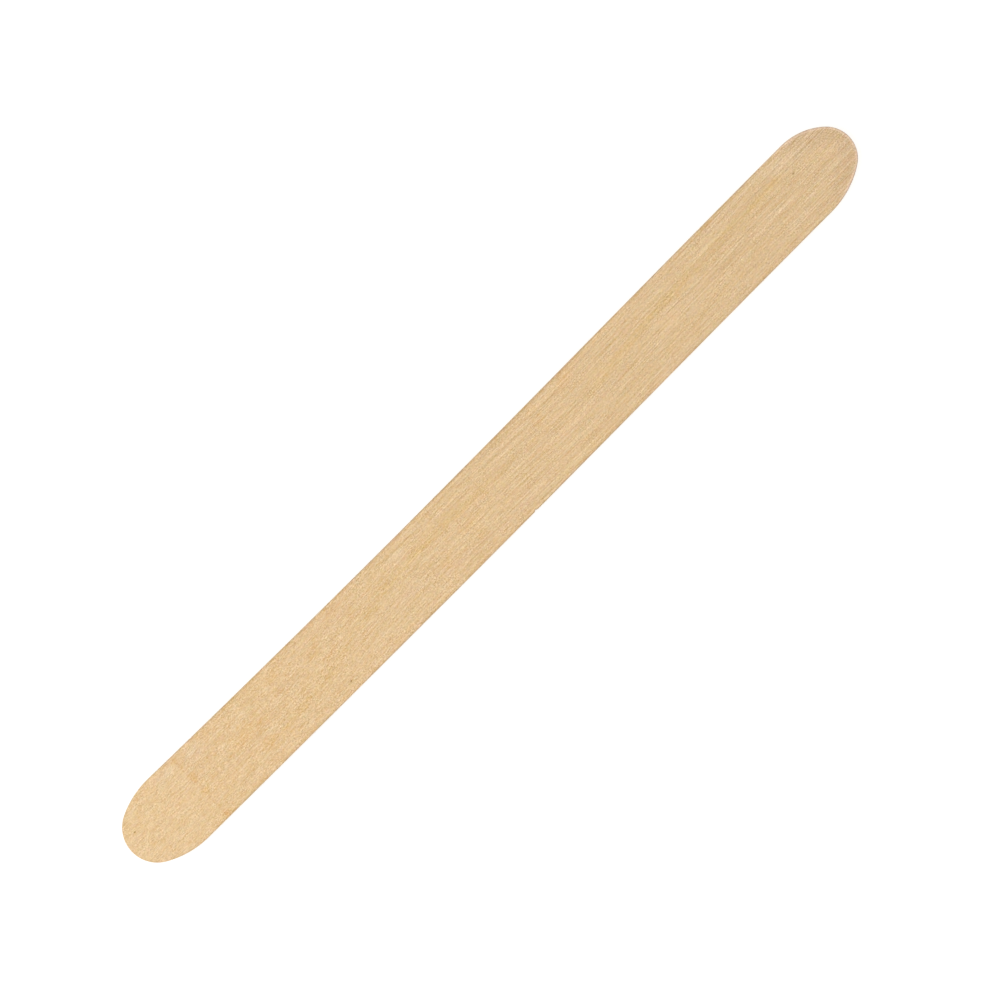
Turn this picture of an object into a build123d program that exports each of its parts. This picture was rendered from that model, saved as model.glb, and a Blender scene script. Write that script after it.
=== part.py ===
from build123d import *
import os

# A disposable spatula: one flat stick of birch, punched out of veneer and tumbled smooth.
# All sizes are in millimetres. X runs along the stick from its broad end to its slim end,
# Y runs across it and Z up through its thickness. Left is +Y, as seen from the broad end.
# The origin is on the underside, midway between the two tips.

# The whole stick
length = 114.3
thickness = 2.0
edge_radius = 0.35  # left by the tumbling, all round both faces

# Width where the broad end starts to round off, at the waist, and where the slim end starts
broad_width = 9.52
waist_width = 9.26
slim_width = 9.32

# The waist lies nearer the broad end, and the wood has sprung sideways there by a hair
waist_x = -9.0
crook = 0.28

# Each end is a blunt nose between two shoulders. A nose is set a little to the left, and
# a shoulder starts at its own distance from the tip.
broad_nose_radius = 4.0
broad_nose_shift = 0.13
broad_left_shoulder = 7.1
broad_right_shoulder = 7.3
slim_nose_radius = 3.6
slim_nose_shift = 0.05
slim_left_shoulder = 6.2
slim_right_shoulder = 7.4


def long_edge(side, broad_shoulder, slim_shoulder):
    # One long edge, side 1 for the left and -1 for the right, as two curves drawn outwards
    # from the waist, where both run along X. One flares steadily to the broad end, and the
    # other eases back along X at the slim end.
    waist = Vector(waist_x, side * waist_width / 2 - crook)
    broad_corner = Vector(broad_shoulder - length / 2, side * broad_width / 2)
    slim_corner = Vector(length / 2 - slim_shoulder, side * slim_width / 2)
    flare = Vector((broad_corner.X - waist.X) / 2, 0)
    ease = Vector((slim_corner.X - waist.X) / 3, 0)
    broad_curve = Bezier(waist, waist + flare, broad_corner)
    slim_curve = Bezier(waist, waist + ease, slim_corner - ease, slim_corner)
    return broad_curve, slim_curve


def rounded_end(left_edge, right_edge, tip, nose_centre):
    # The nose of one end, with a shoulder on each hand that leaves its long edge without a
    # kink and runs into the nose without one.
    nose_radius = (tip - nose_centre).length
    touch_points = []
    for edge in (left_edge, right_edge):
        start = edge @ 1
        reach = nose_centre - start
        inward = (edge % 1).rotate(Axis.Z, 90)
        if inward.dot(reach) < 0:
            inward = -inward
        # A circle that touches the edge at its start and holds the nose circle inside it
        shoulder_radius = (reach.dot(reach) - nose_radius**2) / (2 * (reach.dot(inward) - nose_radius))
        shoulder_centre = start + inward * shoulder_radius
        away = (nose_centre - shoulder_centre) / (shoulder_radius - nose_radius)
        touch_point = nose_centre + away * nose_radius
        TangentArc(start, touch_point, tangent=edge % 1)
        touch_points.append(touch_point)
    ThreePointArc(touch_points[0], tip, touch_points[1])


with BuildPart() as stick:
    with BuildSketch():
        with BuildLine():
            left_broad, left_slim = long_edge(1, broad_left_shoulder, slim_left_shoulder)
            right_broad, right_slim = long_edge(-1, broad_right_shoulder, slim_right_shoulder)

            broad_tip = Vector(-length / 2, broad_nose_shift)
            broad_nose_centre = broad_tip + Vector(broad_nose_radius, 0)
            rounded_end(left_broad, right_broad, broad_tip, broad_nose_centre)

            slim_tip = Vector(length / 2, slim_nose_shift)
            slim_nose_centre = slim_tip - Vector(slim_nose_radius, 0)
            rounded_end(left_slim, right_slim, slim_tip, slim_nose_centre)
        make_face()
    extrude(amount=thickness)
    fillet(stick.faces().filter_by(Axis.Z).edges(), radius=edge_radius)

stick.part.label = "stick"
os.makedirs("parts", exist_ok=True)
export_step(stick.part, "parts/stick.step")
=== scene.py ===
import bpy
import bmesh
import math
from mathutils import Matrix, Vector, kdtree, noise
from mathutils.geometry import interpolate_bezier


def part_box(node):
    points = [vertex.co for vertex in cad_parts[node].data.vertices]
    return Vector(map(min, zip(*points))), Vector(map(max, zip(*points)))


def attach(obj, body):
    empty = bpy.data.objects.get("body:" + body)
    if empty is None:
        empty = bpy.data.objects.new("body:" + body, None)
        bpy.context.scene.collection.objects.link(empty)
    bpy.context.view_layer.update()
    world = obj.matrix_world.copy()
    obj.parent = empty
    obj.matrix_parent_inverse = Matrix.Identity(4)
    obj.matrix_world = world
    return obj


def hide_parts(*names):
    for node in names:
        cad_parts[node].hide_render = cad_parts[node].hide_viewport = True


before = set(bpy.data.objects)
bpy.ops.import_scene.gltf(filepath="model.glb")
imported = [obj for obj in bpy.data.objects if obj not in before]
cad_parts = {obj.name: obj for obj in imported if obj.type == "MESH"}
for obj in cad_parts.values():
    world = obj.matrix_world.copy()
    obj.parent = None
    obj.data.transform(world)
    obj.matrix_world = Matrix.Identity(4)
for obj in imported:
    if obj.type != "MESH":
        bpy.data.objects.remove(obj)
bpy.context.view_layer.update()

mm = 0.001  # all the sizes in the dictionaries are millimetres

# The stick's outline, the same form as the solid that it stands for. Left is +Y.
stickForm = {
    "broadWidth": 9.52, "waistWidth": 9.26, "slimWidth": 9.32,
    "waistX": -9.0, "crook": 0.28,
    "edgeRadius": 0.35,
    "broadEnd": {"nose": 4.0, "shift": 0.13, "left": 7.1, "right": 7.3},
    "slimEnd": {"nose": 3.6, "shift": 0.05, "left": 6.2, "right": 7.4},
    "cornerRun": 3.4,  # outline length from a tip to the corner of the net of faces
    "noseReach": 12.0,  # how far in from a tip the net still curves with the nose
    "stepAlong": 0.3, "rowsAcross": 74, "edgeSteps": 5, "wallSteps": 4,
    "curveSteps": 60, "arcSteps": 40, "mergeWithin": 1e-4,
}

# How the wood has lifted and worn: how deep below the true form, and wave sizes along and across
# the grain
stickWear = {
    "raisedGrain": {"deep": 0.012, "along": 5.0, "across": 0.42, "seed": 3.1},
    "planerMarks": {"deep": 0.006, "along": 0.9, "across": 2.2, "seed": 8.7},
    "wallTear": {"deep": 0.012, "along": 0.5, "across": 1.6, "seed": 14.2},
    "nicks": [
        {"x": 2.3, "side": -1, "deep": 0.17, "wide": 0.18},
        {"x": -43.4, "side": 1, "deep": 0.06, "wide": 0.15},
    ],
    "nickSteps": (-0.2, -0.13, -0.07, 0.0, 0.07, 0.13, 0.2),
}


def arc(centre, start, end, steps):
    # points from start to end round centre, by the shorter way
    spoke, last = start - centre, end - centre
    turn = math.atan2(spoke.cross(last), spoke.dot(last))
    return [centre + Matrix.Rotation(turn * k / steps, 2) @ spoke for k in range(steps + 1)]


def longEdge(side, tipX):
    # one long edge from its broad corner to its slim corner, with the direction at both
    hand = "left" if side > 0 else "right"
    steps = stickForm["curveSteps"]
    waistY = side * stickForm["waistWidth"] / 2 - stickForm["crook"]
    waist = Vector((stickForm["waistX"], waistY))
    broad = Vector((stickForm["broadEnd"][hand] - tipX, side * stickForm["broadWidth"] / 2))
    slim = Vector((tipX - stickForm["slimEnd"][hand], side * stickForm["slimWidth"] / 2))
    control = Vector(((waist.x + broad.x) / 2, waist.y))
    handles = broad.lerp(control, 2 / 3), waist.lerp(control, 2 / 3)
    flare = interpolate_bezier(broad, *handles, waist, steps)
    ease = Vector(((slim.x - waist.x) / 3, 0))
    tail = interpolate_bezier(waist, waist + ease, slim - ease, slim, steps)
    points = [p.to_2d() for p in flare] + [p.to_2d() for p in tail[1:]]
    return points, (broad - control).normalized(), Vector((1, 0))


def endRound(end, tipX, left, leftRun, right, rightRun):
    # shoulder, nose and shoulder, from the left corner to the right one
    steps = stickForm["arcSteps"]
    toMiddle = -math.copysign(1, tipX)
    tip = Vector((tipX, end["shift"]))
    nose = tip + Vector((toMiddle * end["nose"], 0))
    shoulders = []
    for corner, run in ((left, leftRun), (right, rightRun)):
        reach = nose - corner
        inward = Vector((-run.y, run.x))
        inward *= math.copysign(1, inward.dot(reach))
        beyondNose = inward.dot(reach) - end["nose"]
        radius = (reach.length_squared - end["nose"] ** 2) / (2 * beyondNose)
        centre = corner + inward * radius
        touch = nose + (nose - centre) * (end["nose"] / (radius - end["nose"]))
        shoulders.append(arc(centre, corner, touch, steps))
    first, last = shoulders
    toTip = arc(nose, first[-1], tip, steps)
    fromTip = arc(nose, tip, last[-1], steps)
    return first[:-1] + toTip[:-1] + fromTip + last[-2::-1]


def nearest(points, spot):
    return min(range(len(points)), key=lambda k: (points[k] - spot).length)


class Outline:
    # the closed outline, walked from the slim tip over the left side, by distance
    def __init__(self, tipX):
        left, leftRun, slimRun = longEdge(1, tipX)
        right, rightRun, slimRun = longEdge(-1, tipX)
        slim = endRound(stickForm["slimEnd"], tipX, left[-1], slimRun, right[-1], slimRun)
        broad = endRound(stickForm["broadEnd"], -tipX, left[0], leftRun, right[0], rightRun)
        tipAt = nearest(slim, Vector((tipX, stickForm["slimEnd"]["shift"])))
        walk = slim[tipAt::-1] + left[-2::-1] + broad[1:] + right[1:] + slim[-2:tipAt - 1:-1]
        self.points = walk
        self.marks = [0.0]
        for before, after in zip(walk, walk[1:]):
            self.marks.append(self.marks[-1] + (after - before).length)
        self.total = self.marks[-1]
        broadTip = nearest(walk, Vector((-tipX, stickForm["broadEnd"]["shift"])))
        self.broadTip = self.marks[broadTip]

    def at(self, distance):
        distance %= self.total
        low, high = 0, len(self.marks) - 1
        while high - low > 1:
            middle = (low + high) // 2
            low, high = (middle, high) if self.marks[middle] <= distance else (low, middle)
        share = (distance - self.marks[low]) / (self.marks[high] - self.marks[low])
        return self.points[low].lerp(self.points[high], share)

    def outward(self, distance, gap=0.05):
        run = (self.at(distance + gap) - self.at(distance - gap)).normalized()
        return Vector((run.y, -run.x))

    def inset(self, distance):
        return self.at(distance) - self.outward(distance) * stickForm["edgeRadius"]


class Net:
    # places a point of a square net: u from the broad end to the slim one, v from right to left
    def __init__(self, outline):
        run = stickForm["cornerRun"]
        self.outline = outline
        self.leftSlim, self.leftBroad = run, outline.broadTip - run
        self.rightBroad, self.rightSlim = outline.broadTip + run, outline.total - run

    def edge(self, u, v):
        # distance along the outline of a point on the net's border
        if v == 0:
            return self.rightBroad + (self.rightSlim - self.rightBroad) * u
        if v == 1:
            return self.leftBroad + (self.leftSlim - self.leftBroad) * u
        if u == 0:
            return self.rightBroad + (self.leftBroad - self.rightBroad) * v
        return self.rightSlim + (self.outline.total + self.leftSlim - self.rightSlim) * v

    def point(self, u, v):
        inset = self.outline.inset
        flat = inset(self.edge(u, 0)).lerp(inset(self.edge(u, 1)), v)
        for end, share in ((0, u), (1, 1 - u)):
            chord = inset(self.edge(end, 0)).lerp(inset(self.edge(end, 1)), v)
            bulge = inset(self.edge(end, v)) - chord if 0 < v < 1 else Vector((0, 0))
            away = share * (self.leftBroad - self.leftSlim) / stickForm["noseReach"]
            flat += bulge * max(0, 1 - away) ** 2
        return flat


def stations(length, nicks):
    # where the net's cross lines stand, from 0 to 1, closer together at each nick
    count = round(length / stickForm["stepAlong"])
    spots = [k / count for k in range(count + 1)]
    for nick in nicks:
        middle = 0.5 + nick["x"] / length
        close = [middle + step / length for step in stickWear["nickSteps"]]
        spots = [u for u in spots if not close[0] < u < close[-1]] + close
    return sorted(spots)


def addFace(bm, net, spots, z, looksDown):
    # one flat face of the stick as a grid of quads
    rows = stickForm["rowsAcross"]
    made = bmesh.ops.create_grid(bm, x_segments=len(spots) - 1, y_segments=rows, size=1)["verts"]
    for vert in made:
        i = round((vert.co.x + 1) / 2 * (len(spots) - 1))
        j = round((vert.co.y + 1) / 2 * rows)
        spot = net.point(spots[i], j / rows)
        vert.co = (spot.x, spot.y, z)
    if looksDown:
        faces = {face for vert in made for face in vert.link_faces}
        bmesh.ops.reverse_faces(bm, faces=list(faces))


def rimProfile(thickness):
    # (how far out, how high) from the top face's border down to the underside's
    radius = stickForm["edgeRadius"]
    steps, walls = stickForm["edgeSteps"], stickForm["wallSteps"]
    quarter = [math.radians(90 * k / steps) for k in range(1, steps + 1)]
    top, tall = thickness - radius, thickness - 2 * radius
    over = [(radius * math.sin(a), top + radius * math.cos(a)) for a in quarter]
    wall = [(radius, top - tall * k / walls) for k in range(1, walls)]
    under = [(out, thickness - z) for out, z in reversed(over)]
    return over + wall + under + [(0, 0)]


def wave(point, mark):
    # noise from 0 to 1, long along the grain
    across = mark["across"]
    spot = (point.x / mark["along"], point.y / across, point.z / across + mark["seed"])
    return noise.noise(spot) / 2 + 0.5


def wornDepth(point, outward):
    # how deep under the true form a point of the skin lies
    grain = stickWear["raisedGrain"]
    marks = stickWear["planerMarks"]
    tear = stickWear["wallTear"]
    depth = grain["deep"] * wave(point, grain) + marks["deep"] * wave(point, marks)
    depth += (tear["deep"] * wave(point, tear) - depth) * outward.length
    for nick in stickWear["nicks"]:
        if outward.y * nick["side"] > 0.5:
            depth += nick["deep"] * max(0, 1 - abs(point.x - nick["x"]) / nick["wide"])
    return depth


def markEdge(bm, outline, step=0.05):
    # writes on each vertex how far in from the outline it lies, for the rims
    count = round(outline.total / step)
    around = kdtree.KDTree(count)
    for k in range(count):
        around.insert(outline.at(k * step).to_3d(), k)
    around.balance()
    fromEdge = bm.verts.layers.float.new("fromEdge")
    for vert in bm.verts:
        vert[fromEdge] = around.find((vert.co.x, vert.co.y, 0))[2]


def buildStick():
    low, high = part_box("stick")
    tipX = (high.x - low.x) / 2 / mm
    thickness = (high.z - low.z) / mm
    outline = Outline(tipX)
    net = Net(outline)
    spots = stations(net.leftBroad - net.leftSlim, stickWear["nicks"])
    print("outline", round(outline.total, 2), "mm round,", len(spots), "stations")

    bm = bmesh.new()
    base = bm.verts.layers.float_vector.new("base")
    outwards = bm.verts.layers.float_vector.new("outwards")
    addFace(bm, net, spots, thickness, False)

    # the border of the top face is drawn out and down, ring by ring, over the rounded edge
    border = [edge for edge in bm.edges if edge.is_boundary]
    rows, last = stickForm["rowsAcross"], len(spots) - 1
    top = {(round(v.co.x, 5), round(v.co.y, 5)): v for edge in border for v in edge.verts}
    for i in range(len(spots)):
        for j in (range(rows + 1) if i in (0, last) else (0, rows)):
            spot = net.point(spots[i], j / rows)
            vert = top[(round(spot.x, 5), round(spot.y, 5))]
            vert[base] = (spot.x, spot.y, 0)
            vert[outwards] = outline.outward(net.edge(spots[i], j / rows)).to_3d()
    for out, z in rimProfile(thickness):
        ring = bmesh.ops.extrude_edge_only(bm, edges=border)["geom"]
        border = [part for part in ring if isinstance(part, bmesh.types.BMEdge)]
        for vert in {v for edge in border for v in edge.verts}:
            spot = vert[base] + vert[outwards] * out
            vert.co = (spot.x, spot.y, z)

    addFace(bm, net, spots, 0, True)
    bmesh.ops.remove_doubles(bm, verts=bm.verts, dist=stickForm["mergeWithin"])
    bmesh.ops.recalc_face_normals(bm, faces=bm.faces)
    # the extrude numbers its faces in no fixed order, so they get one here
    bm.verts.index_update()
    inOrder = sorted(bm.faces, key=lambda face: sorted(vert.index for vert in face.verts))
    for number, face in enumerate(inOrder):
        face.index = number
    bm.faces.sort()
    bm.normal_update()
    markEdge(bm, outline)

    drops = [vert.normal * wornDepth(vert.co, vert.normal.to_2d()) for vert in bm.verts]
    for vert, drop in zip(bm.verts, drops):
        vert.co -= drop
    bmesh.ops.scale(bm, vec=(mm, mm, mm), verts=bm.verts)
    for name in ("base", "outwards"):
        bm.verts.layers.float_vector.remove(bm.verts.layers.float_vector[name])
    mesh = bpy.data.meshes.new("spatulaStick")
    bm.to_mesh(mesh)
    openEdges = sum(1 for edge in bm.edges if not edge.is_manifold)
    bm.free()
    mesh.shade_smooth()
    stick = bpy.data.objects.new("spatulaStick", mesh)
    bpy.context.scene.collection.objects.link(stick)
    mesh.calc_loop_triangles()
    print("stick", len(mesh.loop_triangles), "triangles,", openEdges, "open edges")
    return stick


class Wire:
    # a socket, or the bare tree, whose arithmetic adds Math nodes
    def __init__(self, tree, socket=None):
        self.tree, self.socket = tree, socket

    def node(self, kind, settings=None, values=None, output=0):
        made = self.tree.nodes.new(kind)
        for name, setting in (settings or {}).items():
            if name == "curve":
                line = made.mapping.curves[0]
                while len(line.points) < len(setting):
                    line.points.new(0.5, 0.5)
                for point, spot in zip(line.points, setting):
                    point.location = spot
                made.mapping.update()
            else:
                setattr(made, name, setting)
        for name, value in (values or {}).items():
            if isinstance(value, Wire):
                self.tree.links.new(value.socket, made.inputs[name])
            else:
                made.inputs[name].default_value = value
        return Wire(self.tree, made.outputs[output] if made.outputs else None)

    def math(self, operation, *values):
        return self.node("ShaderNodeMath", {"operation": operation}, dict(enumerate(values)))

    def __add__(self, other):
        return self.math("ADD", self, other)

    __radd__ = __add__

    def __mul__(self, other):
        return self.math("MULTIPLY", self, other)

    __rmul__ = __mul__

    def __sub__(self, other):
        return self.math("SUBTRACT", self, other)

    def __rsub__(self, other):
        return self.math("SUBTRACT", other, self)

    def __truediv__(self, other):
        return self.math("DIVIDE", self, other)

    def __abs__(self):
        return self.math("ABSOLUTE", self)

    def ease(self, start, end):
        # 0 at start and 1 at end, smoothly
        return self.node("ShaderNodeMapRange", {"interpolation_type": "SMOOTHSTEP"}, {
            "Value": self, "From Min": start, "From Max": end})

    def vector(self, operation, *values):
        settings = {"operation": operation}
        return self.node("ShaderNodeVectorMath", settings, dict(enumerate(values)))


# The wood's colours are linear. Sizes are millimetres, and frequencies are per millimetre.
birch = {
    "base": (0.769, 0.537, 0.293),
    # how much red, green and blue follow a change of tone that is cool or warm, and of hue
    "cool": (0.81, 0.97, 1.34), "warm": (0.5, 1.04, 2.05),
    "gold": (-0.33, -0.19, 0.92), "rose": (0.86, -0.47, 0.2),
    # figure of the grain: frequency along and across the fibres, detail, strength in the slim
    # part and in the broad, how warm its tone is, and how unevenly it lies
    "figure": {
        "longLines": (0.12, 4.5, 0, 0.27, 0.03, 0.45, 0.0),
        "fineLines": (0.12, 8.0, 0, 0.38, 0.04, 0.0, 0.6),
        "midLines": (0.35, 6.0, 0, 0.23, 0.22, 0.5, 0.0),
        "shortLines": (1.0, 7.0, 0, 0.22, 0.37, 0.3, 0.1),
        "chips": (2.0, 6.0, 0, 0.0, 0.20, 0.2, 0.1),
        "dashes": (3.0, 7.0, 0, 0.28, 0.33, 0.05, 0.4),
        "grit": (6.0, 6.0, 0, 0.46, 0.63, 0.0, 0.9),
        "dust": (9.0, 9.0, 0, 0.56, 0.22, 0.0, 1.2),
        "patches": (0.6, 1.2, 0, 0.045, 0.13, 1.0, 0.0),
        "bands": (0.08, 1.2, 1, 0.02, 0.08, 1.0, 0.0),
    },
    "unevenness": (0.6, 0.8, 2.0),  # frequency along and across, and how strong
    "paleFibres": 0.5,  # how much lighter the strongest of the figure's tones turn
    # where along the stick the long lines give way to the broken ones, and how much stronger
    # the figure is between the two
    "figureFrom": 8, "figureTo": -42, "figureLift": 0.45,
    # hue, frequency along and across, detail, strength in the slim part and in the broad
    "hues": [("gold", 2.0, 2.3, 2, 0.34, 0.35), ("rose", 1.8, 2.0, 2, 0.16, 0.155),
             ("gold", 0.3, 1.8, 1, 0.13, 0.06), ("rose", 0.3, 1.8, 1, 0.06, 0.03),
             ("gold", 0.1, 0.7, 1, 0.08, 0.08), ("rose", 0.15, 0.8, 1, 0.05, 0.05)],
    "noiseRoughness": 0.55,
    # how the fibres stray sideways: frequency along and across, and how far
    "wobble": (0.06, 0.3, 0.6), "ripple": (0.6, 0.6, 0.5),
    # where a growth ring comes to the surface, and how far the fibres turn with it
    "flow": [(-57, -3.6), (-36.8, -2.24), (-27.6, -1.35), (-19.0, 0.37), (-11.8, 1.39),
             (-0.2, 1.19), (6.8, 0.89), (13.8, 0.31), (20.7, 0.75), (26.0, 1.32),
             (34.7, 1.76), (44.9, 2.2), (57, 2.6)],
    "flowReach": (-5, 5), "fibreFollows": 0.35, "ringLean": 1.5,
    "ringTint": (-0.028, -0.047, -0.14), "ringCore": (0.65, 0.15), "ringHaze": (1.3, 0.5),
    "ringHazeShare": 0.25, "ringReach": (0, 2),
    # how a ring breaks up: its own noise, and the shares of two layers of the figure
    "ringBreaks": (0.25, 1.2, 1.5), "ringFineLines": 2.5, "ringLongLines": 2,
    "rings": [  # how far from the flow line, and how strong at each place along the stick
        (0, [(-57, 0), (-40, 0.15), (-34, 0.5), (-22, 0.55), (-14, 0.8), (-1, 0.8), (4, 0.35),
             (14, 0.35), (20, 0.9), (32, 0.9), (44, 0.9), (50, 0.3), (54, 0), (57, 0)]),
        (-3.9, [(-57, 0), (8, 0), (16, 0.3), (44, 0.3), (50, 0), (57, 0)])],
    "curveLength": 120,  # the length that the curves along the stick are drawn over
    "halfLength": 57, "slimTint": (-0.020, -0.011, 0.012),  # the change from middle to slim end
    "faceHeight": 2.0,
    "topFrom": (1.2, 1.9),  # the marks of the upper face fade in between these heights
    "roughness": 0.6, "roughnessChange": 0.25, "bump": 0.06, "ior": 1.45,
}

# Marks on the upper face: x, y, half length, half width, degrees, strength. A tint is what a mark
# adds to red, green and blue, as a share of the wood's own colour.
marks = {
    "specks": {"tint": (-0.34, -0.39, -0.50), "spots": [
        (-55.3, 1.57, 0.16, 0.12, 0, 1.3), (49.7, 1.48, 0.17, 0.14, 0, 1.15),
        (-26.0, -3.7, 0.2, 0.16, 0, 1.2), (-16.9, -0.81, 0.14, 0.11, 0, 1.15),
        (10.1, 2.61, 0.15, 0.12, 0, 0.75)]},
    "rust": {"tint": (0.0, -0.045, -0.13), "spots": [
        (-46.3, 1.2, 0.75, 0.6, 90, 1.0), (-46.2, -0.85, 0.75, 0.55, 0, 1.0),
        (-46.5, -4.2, 0.7, 0.5, 0, 1.2), (-46.6, 3.9, 0.6, 0.5, 0, 0.8),
        (-4.0, -0.6, 1.8, 0.6, 4, 0.8), (-3.8, -2.1, 1.0, 0.6, 0, 0.7),
        (-8.9, -2.2, 1.0, 0.6, 0, 0.7), (-26.5, 1.5, 1.1, 0.7, 10, 0.8),
        (-39.0, 0.4, 2.8, 0.8, 8, 0.8), (-37.2, -1.9, 1.2, 0.5, 10, 0.4),
        (-32.0, 3.1, 1.2, 0.6, 0, 0.7), (9.7, 2.1, 1.2, 0.5, 0, 0.8),
        (15.3, 3.6, 1.6, 0.9, 0, 0.9), (10.0, 3.6, 1.3, 0.7, 0, 0.6),
        (-36.0, 0.1, 1.4, 0.8, 0, 0.5)]},
    "creases": {"tint": (-0.09, -0.12, -0.16), "spots": [
        (-40.8, -3.0, 0.55, 0.14, 50, 0.9), (13.4, 2.5, 1.3, 0.12, 3, 1.0),
        (14.6, 4.0, 0.6, 0.14, 38, 0.6), (-20.1, 2.3, 0.5, 0.12, 0, 0.6),
        (28.6, 1.63, 2.2, 0.1, 2, 0.8), (27.6, 1.2, 1.8, 0.1, 2, 0.7),
        (41.4, -1.13, 3.4, 0.1, 0, 0.45), (25.0, -2.17, 5.0, 0.1, 0, 0.4),
        (49.0, 2.38, 2.0, 0.14, 0, 0.4)]},
    "pale": {"tint": (0.0, 0.035, 0.12), "spots": [
        (-48.7, 3.6, 1.5, 0.8, 10, 1.0), (-44.4, 3.25, 1.8, 0.8, 0, 1.2),
        (-12.6, 2.65, 1.6, 0.7, 0, 0.8), (30.8, -1.5, 1.2, 0.6, 0, 0.5),
        (-13.5, -1.4, 1.6, 0.6, 0, 0.4), (24.2, -2.7, 1.1, 0.6, 0, 0.6),
        (49.4, 3.15, 3.6, 1.0, -12, 0.7), (-4.0, 1.55, 1.5, 0.5, 0, 0.5)]},
    "shades": {"tint": (-0.04, -0.06, -0.09), "spots": [  # below zero they are lighter
        (-36.8, 0.0, 2.6, 1.2, 5, 1.0), (-30.8, 1.1, 2.0, 0.8, 0, 1.0),
        (45.6, -0.2, 2.2, 0.6, 0, 1.0), (29.8, -0.58, 1.5, 0.6, 0, 0.8),
        (44.0, -2.48, 1.1, 0.5, 0, 1.1), (-13.7, -0.05, 1.4, 0.7, 0, -0.9),
        (-6.4, -2.4, 4.0, 1.2, 0, 0.5), (14.2, 2.15, 1.5, 0.5, 0, 0.5),
        (22.0, 0.0, 2.0, 0.9, 0, -0.4), (49.3, 0.1, 1.8, 0.8, 0, 0.7),
        (-40.5, -1.3, 1.3, 0.7, 0, 0.8), (-26.8, 1.6, 1.5, 1.2, 0, 0.7),
        (-1.5, -2.3, 1.3, 0.6, 0, 0.7), (49.2, 3.4, 4.2, 0.8, -8, -0.7)]},
    "fade": (1.25, 0.35),  # gone and full, as shares of a mark's half sizes
    "throughStick": 1000,  # a mark's half height, so that its place along Z has no effect
    "ragged": {"frequency": 1.3, "detail": 2, "reach": 0.45},  # borders of the soft marks
    # the faint line across the broad end, and the paler wood beyond it
    "crossLine": {"x": -46.67, "wander": (1.5, 1.5, 0.25), "edge": 0.06, "fade": 0.8,
                  "breaks": (0.2, 0.7, 1.4), "strength": 0.9, "tint": (-0.045, -0.08, -0.12)},
    "pressedEnd": {"tint": (0.012, 0.024, 0.035), "calm": 0.1},
}

# Rims: painted shade and a painted highlight where the rounded edges turn, partly darker worn wood.
# Each band's tint, and how far in from the outline it is full and gone
rims = {
    "height": (1.6, 1.78),  # they show from the lower to the upper
    # painted shade along the rounded long edges, partly darker worn wood
    "longEdge": {
        "bands": [((-0.07, -0.06, -0.03), 0.03, 0.11), ((-0.08, -0.08, -0.04), 0.12, 0.28),
                  ((-0.025, -0.04, -0.09), 0.25, 0.55)],
        "fromX": 47, "toX": 52, "breaks": (0.5, 0.5, 2),
        "rightShare": 0.7, "rightToLeft": (-1, 1)},
    # a dark line at the outline and a pale band on the rounded nose are painted shade and a painted
    # highlight; the last band darkens the face further in
    "slimNose": {
        "bands": [((-0.44, -0.46, -0.55), 0.02, 0.12), ((0.22, 0.265, 0.50), 0.24, 0.36),
                  ((-0.08, -0.09, -0.065), 0.8, 3.0)],
        "fromX": 49.5, "toX": 52.5},
    # the side walls turn darker: painted shade, partly the rougher cut wood
    "wall": {"tint": (-0.06, -0.08, -0.12), "height": (1.62, 1.2), "fromEdge": (0.06, 0.02)},
}


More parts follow.
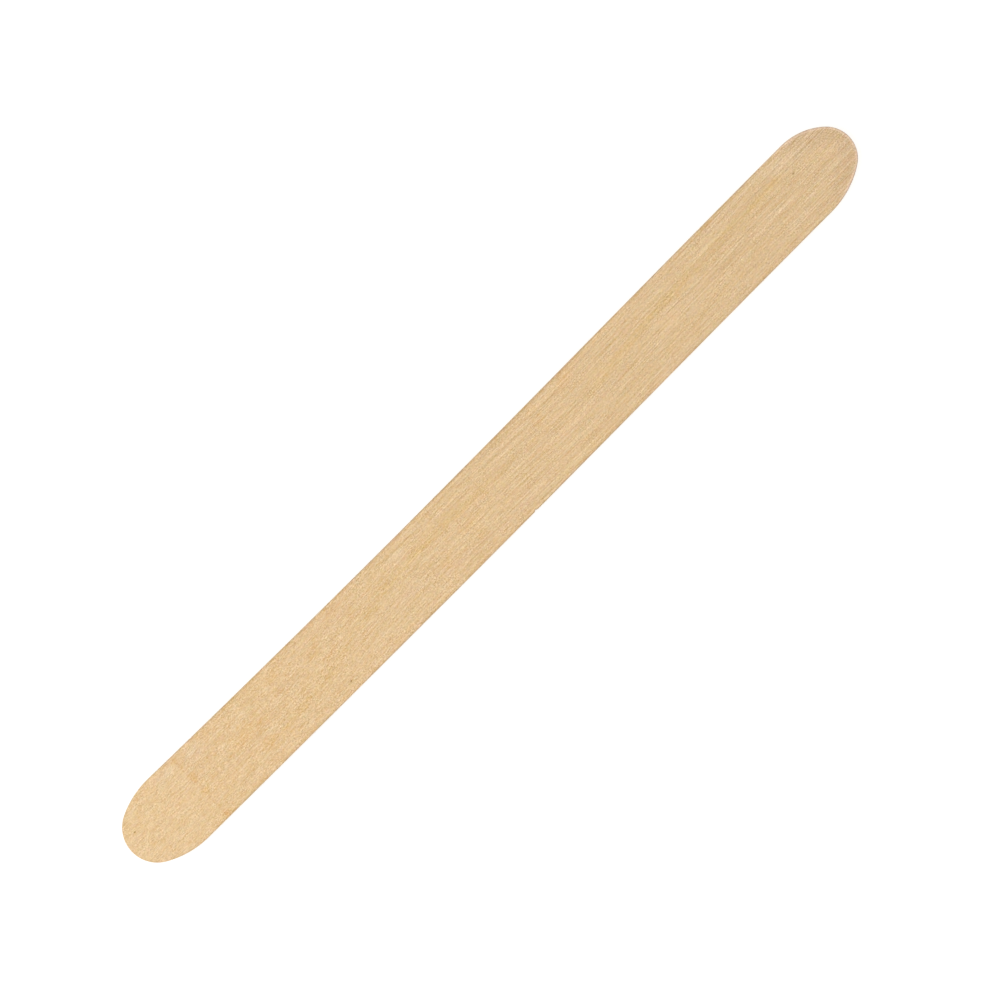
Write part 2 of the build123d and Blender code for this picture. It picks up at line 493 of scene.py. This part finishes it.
def birchWood():
    material = bpy.data.materials.new("birchWood")
    material.use_nodes = True
    material.node_tree.nodes.clear()
    tree = Wire(material.node_tree)

    place = tree.node("ShaderNodeTexCoord", output="Object")
    place = tree.node("ShaderNodeVectorMath", {"operation": "SCALE"}, {0: place, "Scale": 1 / mm})
    x, y, z = (tree.node("ShaderNodeSeparateXYZ", values={0: place}, output=name) for name in "XYZ")
    fromEdge = tree.node("ShaderNodeAttribute", {"attribute_name": "fromEdge"}, output="Fac")
    depth = birch["faceHeight"] - z
    onTop = z.ease(*birch["topFrom"])
    seeds = iter(range(3, 200, 7))  # whole, so that the top face lies on each noise's lattice

    def patches(vector, along, across, detail=0):
        # noise about zero, stretched along the grain
        seed = next(seeds)
        spot = tree.vector("MULTIPLY_ADD", vector, (along, across, across), (seed, seed * 1.7, seed))
        return tree.node("ShaderNodeTexNoise", values={
            "Vector": spot, "Scale": 1, "Detail": detail,
            "Roughness": birch["noiseRoughness"]}) - 0.5

    def swing(vector, settings, detail=1):
        along, across, reach = settings
        return patches(vector, along, across, detail) * reach

    def tinted(shade, mask, tint):
        return tree.vector("MULTIPLY_ADD", mask, tint, shade)

    def alongStick(points, low, high):
        # a smooth curve through the values that points gives along the stick
        span = birch["curveLength"]
        curve = [(px / span + 0.5, (value - low) / (high - low)) for px, value in points]
        share = tree.node("ShaderNodeFloatCurve", {"curve": curve}, {"Value": x / span + 0.5})
        return share * (high - low) + low

    # where the growth rings run, and the fibres that follow them part of the way
    flow = alongStick(birch["flow"], *birch["flowReach"])
    broken = x.ease(birch["figureFrom"], birch["figureTo"])
    stray = swing(place, birch["wobble"])
    stray = stray + swing(place, birch["ripple"]) * broken
    fibreY = y - flow * birch["fibreFollows"] + stray
    grain = tree.node("ShaderNodeCombineXYZ", values={"X": x, "Y": fibreY, "Z": depth})

    # figure of the grain
    line = marks["crossLine"]
    beyond = x + swing(place, line["wander"], 0) - line["x"]
    pressed = beyond.ease(line["edge"], -line["edge"]) * onTop
    uneven = swing(place, birch["unevenness"])
    calm = 1 - pressed * marks["pressedEnd"]["calm"]
    calm = calm * (broken * (1 - broken) * birch["figureLift"] + 1)
    cool, warm = Vector(birch["cool"]), Vector(birch["warm"])
    layers = {}
    tone = 0
    shade = (1, 1, 1)
    for name, (along, across, detail, slim, broad, warmth, patchy) in birch["figure"].items():
        layers[name] = patches(grain, along, across, detail)
        layer = layers[name] * (broken * (broad - slim) + slim) * calm * (uneven * patchy + 1)
        shade = tinted(shade, layer, cool.lerp(warm, warmth))
        tone = tone + layer
    shade = tinted(shade, tone * tone, (birch["paleFibres"],) * 3)
    for hue, along, across, detail, slim, broad in birch["hues"]:
        layer = patches(grain, along, across, detail) * (broken * (broad - slim) + slim)
        shade = tinted(shade, layer, birch[hue])
    shade = tinted(shade, x / birch["halfLength"], birch["slimTint"])

    # growth rings
    fromRing = y - flow + depth * birch["ringLean"]
    breaks = swing(grain, birch["ringBreaks"]) + layers["fineLines"] * birch["ringFineLines"]
    breaks = breaks + layers["longLines"] * birch["ringLongLines"] + 1
    for gap, strength in birch["rings"]:
        away = abs(fromRing - gap)
        ring = away.ease(*birch["ringCore"])
        ring = ring + away.ease(*birch["ringHaze"]) * birch["ringHazeShare"]
        ring = ring * breaks * alongStick(strength, *birch["ringReach"])
        shade = tinted(shade, ring, birch["ringTint"])

    # marks on the upper face, some with ragged borders
    ragged = marks["ragged"]
    frayed = tree.node("ShaderNodeTexNoise", values={
        "Vector": place, "Scale": ragged["frequency"], "Detail": ragged["detail"]}, output="Color")
    frayed = tree.vector("MULTIPLY_ADD", frayed, (ragged["reach"],) * 3, place)
    for group in ("rust", "pale", "shades", "creases", "specks"):
        crisp = group in ("specks", "creases")
        origin, shift = (place, 0) if crisp else (frayed, ragged["reach"] / 2)
        mask = 0
        for spotX, spotY, halfLong, halfWide, degrees, strength in marks[group]["spots"]:
            local = tree.node("ShaderNodeMapping", {"vector_type": "TEXTURE"}, {
                "Vector": origin, "Location": (spotX + shift, spotY + shift, 0),
                "Rotation": (0, 0, math.radians(degrees)),
                "Scale": (halfLong, halfWide, marks["throughStick"])})
            away = tree.node("ShaderNodeVectorMath", {"operation": "LENGTH"}, {0: local}, "Value")
            mask = mask + away.ease(*marks["fade"]) * strength
        shade = tinted(shade, mask * onTop, marks[group]["tint"])
    shade = tinted(shade, pressed, marks["pressedEnd"]["tint"])
    trail = (1 - pressed) * beyond.ease(line["fade"], 0)
    trail = trail * (swing(place, line["breaks"]) + line["strength"])
    shade = tinted(shade, trail * onTop, line["tint"])

    # rims and side walls: painted shade and a painted highlight where the edges round over, partly
    # darker worn and cut wood
    # painted shade along the rounded long edges, partly darker worn wood
    rim = rims["longEdge"]
    high = z.ease(*rims["height"])
    long = abs(x).ease(rim["toX"], rim["fromX"]) * high * (swing(grain, rim["breaks"]) + 1)
    share = y.ease(*rim["rightToLeft"]) * (1 - rim["rightShare"]) + rim["rightShare"]
    for tint, full, gone in rim["bands"]:
        shade = tinted(shade, long * share * fromEdge.ease(gone, full), tint)
    # painted shade and a painted highlight on the rounded slim nose, then a darker band on the face
    # further in
    rim = rims["slimNose"]
    nose = x.ease(rim["fromX"], rim["toX"]) * high
    for tint, full, gone in rim["bands"]:
        shade = tinted(shade, nose * fromEdge.ease(gone, full), tint)
    # side walls darker: painted shade, partly the rougher cut wood
    sideWallShade = rims["wall"]
    wall = z.ease(*sideWallShade["height"]) * fromEdge.ease(*sideWallShade["fromEdge"])
    shade = tinted(shade, wall, sideWallShade["tint"])

    colour = tree.vector("MULTIPLY", shade, birch["base"])
    roughness = tone * birch["roughnessChange"] + birch["roughness"]
    bump = tree.node("ShaderNodeBump", values={
        "Height": tone, "Strength": 1, "Distance": birch["bump"] * mm})
    shader = tree.node("ShaderNodeBsdfPrincipled", values={
        "Base Color": colour, "Roughness": roughness, "IOR": birch["ior"], "Normal": bump})
    tree.node("ShaderNodeOutputMaterial", values={"Surface": shader})
    print("birch wood has", len(material.node_tree.nodes), "nodes")
    return material


# Camera and light. The photograph is taken as 1000 pixels square.
view = {
    "frame": 1000, "lens": 150, "sensor": 36,
    "pixelsPerMm": 8.864,  # at the height of the stick's outline
    "outlineHeight": 1.65,
    "originPixel": (491.1, 494.7),  # where the stick's origin shows
    "stickAngle": 45.05,  # of +X above the picture's right
    "clip": (0.01, 10),  # metres
}


def placeCamera():
    turn = math.radians(-view["stickAngle"])
    right = Vector((math.cos(turn), math.sin(turn), 0))
    up = Vector((-math.sin(turn), math.cos(turn), 0))
    middle = view["frame"] / 2
    originX, originY = view["originPixel"]
    offset = right * (middle - originX) + up * (originY - middle)
    distance = view["frame"] * view["lens"] / view["sensor"] / view["pixelsPerMm"]
    spot = offset / view["pixelsPerMm"] + Vector((0, 0, view["outlineHeight"] + distance))
    camera = bpy.data.objects.new("camera", bpy.data.cameras.new("camera"))
    camera.data.lens, camera.data.sensor_width = view["lens"], view["sensor"]
    camera.data.clip_start, camera.data.clip_end = view["clip"]
    camera.location = spot * mm
    camera.rotation_euler = (0, 0, turn)
    bpy.context.scene.collection.objects.link(camera)
    bpy.context.scene.camera = camera


light = {
    "world": 0.72,
    "lamps": [
        {"name": "keySoftbox", "from": (-210, 40, 310), "size": 280, "level": 0.29},
        {"name": "fillSoftbox", "from": (250, -60, 330), "size": 200, "level": 0.06},
    ],
    "floorSize": 4.0, "floorColour": (0.75, 0.75, 0.75, 1), "floorGlow": 0.5,
}


def litByRays(tree):
    # 1 for what the camera sees, straight or in gloss, and 0 for the light on the object
    rays = [tree.node("ShaderNodeLightPath", output=name)
            for name in ("Is Camera Ray", "Is Glossy Ray", "Is Transmission Ray")]
    seen = rays[0] + rays[1] + rays[2]
    return seen.math("MINIMUM", seen, 1)


def setLight():
    world = bpy.data.worlds.new("studio")
    bpy.context.scene.world = world
    world.use_nodes = True
    world.node_tree.nodes.clear()
    tree = Wire(world.node_tree)
    level = litByRays(tree) * (1 - light["world"]) + light["world"]
    sky = tree.node("ShaderNodeBackground", values={"Color": (1, 1, 1, 1), "Strength": level})
    tree.node("ShaderNodeOutputWorld", values={"Surface": sky})
    for lamp in light["lamps"]:
        spot = Vector(lamp["from"]) * mm
        data = bpy.data.lights.new(lamp["name"], "AREA")
        data.shape, data.size = "SQUARE", lamp["size"] * mm
        # a level of 1 lights a face turned to the lamp as much as a white sky does
        data.energy = lamp["level"] * math.pi ** 2 * spot.length_squared
        lampObject = bpy.data.objects.new(lamp["name"], data)
        lampObject.location = spot
        lampObject.rotation_euler = spot.to_track_quat("Z", "Y").to_euler()
        bpy.context.scene.collection.objects.link(lampObject)


def layFloor():
    bm = bmesh.new()
    bmesh.ops.create_grid(bm, x_segments=1, y_segments=1, size=light["floorSize"] / 2)
    mesh = bpy.data.meshes.new("floor")
    bm.to_mesh(mesh)
    bm.free()
    floor = bpy.data.objects.new("floor", mesh)
    bpy.context.scene.collection.objects.link(floor)
    material = bpy.data.materials.new("paleFloor")
    material.use_nodes = True
    material.node_tree.nodes.clear()
    tree = Wire(material.node_tree)
    paper = tree.node("ShaderNodeBsdfDiffuse", values={"Color": light["floorColour"]})
    glow = tree.node("ShaderNodeEmission", values={"Strength": litByRays(tree) * light["floorGlow"]})
    both = tree.node("ShaderNodeAddShader", values={0: paper, 1: glow})
    tree.node("ShaderNodeOutputMaterial", values={"Surface": both})
    mesh.materials.append(material)


placeCamera()
setLight()
layFloor()
print("camera, light and floor are set")

stick = buildStick()
stick.data.materials.append(birchWood())
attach(stick, "root")
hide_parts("stick")
print("stick is finished")

bpy.context.scene.view_settings.view_transform = "Standard"
